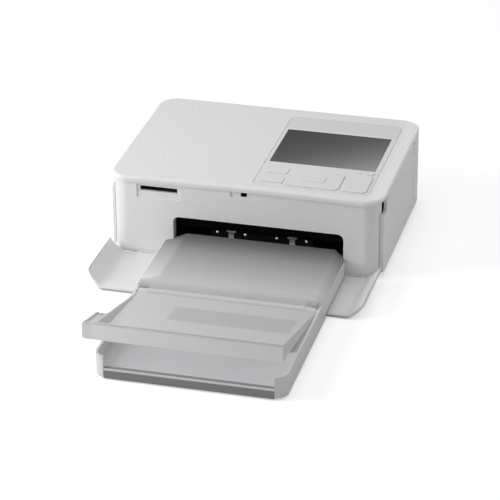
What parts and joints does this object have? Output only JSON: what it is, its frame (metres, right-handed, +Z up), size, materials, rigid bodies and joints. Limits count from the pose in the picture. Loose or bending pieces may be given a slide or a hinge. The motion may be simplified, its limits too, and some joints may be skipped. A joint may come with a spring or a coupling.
{
  "type": "compact photo printer",
  "caption": "Compact dye-sublimation photo printer with a pull-out paper cassette, fold-down front cover, side ink door, and a key panel with a flat screen on top.",
  "frame": {"origin": "on the table under the middle of the whole part's bounding box, cassette included", "axes": "+X to the printer's right, +Y from the cassette towards the rear wall, +Z up"},
  "size_m": [0.1822, 0.293, 0.0583],
  "materials": {
    "casing": "fine satin, light dimple texture on parts of the top",
    "panel": "satin gloss",
    "screen": "polished",
    "smoke_plastic": "translucent, polished with satin patches",
    "dark_plastic": "fine matte",
    "grey_plastic": "satin",
    "gear_plastic": "moulded",
    "steel": "brushed",
    "dark_steel": "blackened",
    "aluminium": "extruded",
    "brass": "machined",
    "rubber": "matte",
    "roller_rubber": "ground",
    "circuit_board": "solder mask",
    "film": "thin film",
    "paper": "coated photo paper",
    "lamp": "clear lens"
  },
  "bodies": {
    "root": {"base_tray": "casing", "rubber_feet": "rubber", "left_cover": "casing", "rear_cover": "casing", "top_cover": "casing", "front_panel": "casing", "ribbon_bay": "dark_plastic", "ink_door_pins": "steel", "front_cover_pins": "steel", "control_panel": "panel", "display_glass": "screen", "display_module": "steel", "control_board": "circuit_board", "key_switches": "dark_plastic", "status_light": "lamp", "card_reader": "steel", "usb_socket": "steel", "dc_inlet": "dark_plastic", "main_board": "circuit_board", "left_frame": "dark_steel", "right_frame": "dark_steel", "frame_ties": "dark_steel", "motor_bracket": "dark_steel", "drive_motor": "steel", "head_pivot_shaft": "steel", "ribbon_cassette": "dark_plastic", "ink_ribbon": "film", "paper_guide": "dark_plastic", "guide_clips": "steel", "cooling_fan": "dark_plastic", "case_screws": "steel"},
    "ink_door": {"ink_door": "casing"},
    "front_cover": {"front_cover": "casing"},
    "pinion": {"motor_pinion": "brass"},
    "idler": {"idler_gear": "gear_plastic", "pickup_roller": "roller_rubber"},
    "capstan": {"capstan_gear": "gear_plastic", "capstan_roller": "steel"},
    "takeup": {"takeup_gear": "gear_plastic", "takeup_spool": "gear_plastic"},
    "pinch": {"pinch_roller": "roller_rubber"},
    "platen": {"platen_roller": "roller_rubber"},
    "head": {"thermal_head": "dark_plastic", "head_arm": "aluminium"},
    "supply": {"supply_spool": "gear_plastic"},
    "fan": {"fan_rotor": "dark_plastic"},
    "cassette": {"cassette_tray": "smoke_plastic", "cassette_front_strip": "grey_plastic", "cassette_cover": "smoke_plastic", "lid_hinge_pins": "steel", "cassette_pads": "smoke_plastic"},
    "output_lid": {"output_lid": "smoke_plastic"},
    "paper_lift": {"lift_plate": "steel", "paper_stack": "paper"},
    "power_button": {"power_button": "panel"},
    "menu_button": {"menu_button": "panel"},
    "back_button": {"back_button": "panel"},
    "ok_button": {"ok_button": "panel"},
    "direction_pad": {"direction_pad": "panel"},
    "print_button": {"print_button": "panel"}
  },
  "joints": [
    {"name": "ink_door_hinge", "type": "hinge", "parent": "root", "child": "ink_door", "pos_m": [0.0898, 0.1193, 0.028], "axis": [0, 0, 1], "range_deg": [0, 92]},
    {"name": "front_cover_hinge", "type": "hinge", "parent": "root", "child": "front_cover", "pos_m": [0, 0.0147, 0.0015], "axis": [-1, 0, 0], "range_deg": [0, 0.9]},
    {"name": "capstan_spin", "type": "hinge", "parent": "root", "child": "capstan", "pos_m": [0, 0.0675, 0.02], "axis": [1, 0, 0], "continuous": true},
    {"name": "pinion_spin", "type": "hinge", "parent": "root", "child": "pinion", "pos_m": [0, 0.03162, 0.03188], "axis": [1, 0, 0], "continuous": true},
    {"name": "idler_spin", "type": "hinge", "parent": "root", "child": "idler", "pos_m": [0, 0.0435, 0.02], "axis": [1, 0, 0], "continuous": true},
    {"name": "takeup_spin", "type": "hinge", "parent": "root", "child": "takeup", "pos_m": [0, 0.0695, 0.04231], "axis": [1, 0, 0], "continuous": true},
    {"name": "pinch_spin", "type": "hinge", "parent": "root", "child": "pinch", "pos_m": [0, 0.0675, 0.02965], "axis": [1, 0, 0], "continuous": true},
    {"name": "platen_spin", "type": "hinge", "parent": "root", "child": "platen", "pos_m": [0, 0.0955, 0.016], "axis": [1, 0, 0], "continuous": true},
    {"name": "supply_spin", "type": "hinge", "parent": "root", "child": "supply", "pos_m": [0, 0.117, 0.0345], "axis": [1, 0, 0], "continuous": true},
    {"name": "fan_spin", "type": "hinge", "parent": "root", "child": "fan", "pos_m": [-0.0445, 0.1405, 0.04], "axis": [0, 1, 0], "continuous": true},
    {"name": "head_lift", "type": "hinge", "parent": "root", "child": "head", "pos_m": [0, 0.1315, 0.0465], "axis": [-1, 0, 0], "range_deg": [0, 3], "stiffness_Nm_per_rad": 0.6, "springref_deg": -5.73},
    {"name": "cassette_slide", "type": "slide", "parent": "root", "child": "cassette", "axis": [0, -1, 0], "range_m": [0, 0.06]},
    {"name": "output_lid_hinge", "type": "hinge", "parent": "cassette", "child": "output_lid", "pos_m": [0, -0.0565, 0.0126], "axis": [-1, 0, 0], "range_deg": [-5.5, 85]},
    {"name": "paper_lift", "type": "hinge", "parent": "cassette", "child": "paper_lift", "pos_m": [0, -0.0985, 0.0074], "axis": [1, 0, 0], "range_deg": [0, 1.3]},
    {"name": "power_press", "type": "slide", "parent": "root", "child": "power_button", "axis": [0, 0, -1], "range_m": [0, 0.00045], "stiffness_N_per_m": 600, "springref_m": -0.0004},
    {"name": "menu_press", "type": "slide", "parent": "root", "child": "menu_button", "axis": [0, 0, -1], "range_m": [0, 0.00045], "stiffness_N_per_m": 600, "springref_m": -0.0004},
    {"name": "back_press", "type": "slide", "parent": "root", "child": "back_button", "axis": [0, 0, -1], "range_m": [0, 0.00045], "stiffness_N_per_m": 600, "springref_m": -0.0004},
    {"name": "ok_press", "type": "slide", "parent": "root", "child": "ok_button", "axis": [0, 0, -1], "range_m": [0, 0.00045], "stiffness_N_per_m": 600, "springref_m": -0.0004},
    {"name": "direction_pad_press", "type": "slide", "parent": "root", "child": "direction_pad", "axis": [0, 0, -1], "range_m": [0, 0.00045], "stiffness_N_per_m": 600, "springref_m": -0.0004},
    {"name": "print_press", "type": "slide", "parent": "root", "child": "print_button", "axis": [0, 0, -1], "range_m": [0, 0.00045], "stiffness_N_per_m": 600, "springref_m": -0.0004}
  ],
  "couplings": [
    {"joint": "pinion_spin", "follows": "capstan_spin", "ratio": 2.2857},
    {"joint": "idler_spin", "follows": "capstan_spin", "ratio": -1.1429},
    {"joint": "takeup_spin", "follows": "capstan_spin", "ratio": -1.3333},
    {"joint": "pinch_spin", "follows": "capstan_spin", "ratio": -0.72727},
    {"joint": "platen_spin", "follows": "capstan_spin", "ratio": 0.5},
    {"joint": "supply_spin", "follows": "capstan_spin", "ratio": -1.1183}
  ]
}
